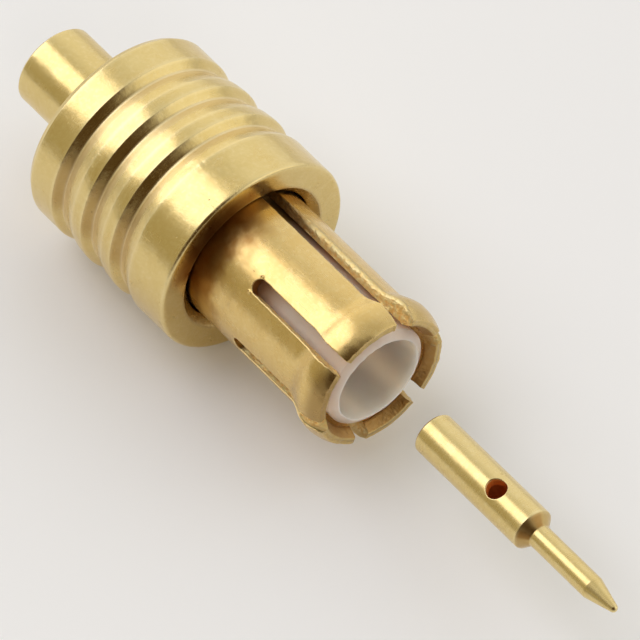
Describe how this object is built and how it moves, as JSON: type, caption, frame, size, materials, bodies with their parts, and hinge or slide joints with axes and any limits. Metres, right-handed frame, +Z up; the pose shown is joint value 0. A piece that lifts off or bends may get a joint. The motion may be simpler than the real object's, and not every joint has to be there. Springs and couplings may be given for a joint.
{
  "type": "coaxial cable plug",
  "caption": "Straight push-on coaxial cable plug with a grooved gold-plated body, slotted spring collet, white insulator and a separate solder-cup centre contact drawn out in front.",
  "frame": {"origin": "on the ground under the middle of the whole length, from the cable tube's end to the drawn-out contact's point; the plug lies on the lowest line of its grooved body", "axes": "+X along the plug's axis towards the mating end, +Y to the side, +Z up"},
  "size_m": [0.0198, 0.005, 0.0051],
  "materials": {
    "gold_body": "bright gold plate on turned brass",
    "gold_spring": "satin gold plate on a spring alloy",
    "white_insulator": "white waxy fluoropolymer",
    "gold_pin": "bright gold plate on turned brass"
  },
  "bodies": {
    "plug_body": {"body_shell": "gold_body", "spring_collet": "gold_spring", "insulator": "white_insulator"},
    "contact_body": {"centre_contact": "gold_pin"}
  },
  "joints": [
    {"name": "contact_insertion", "type": "slide", "parent": "plug_body", "child": "contact_body", "axis": [-1, 0, 0], "range_m": [0, 0.00842]}
  ]
}
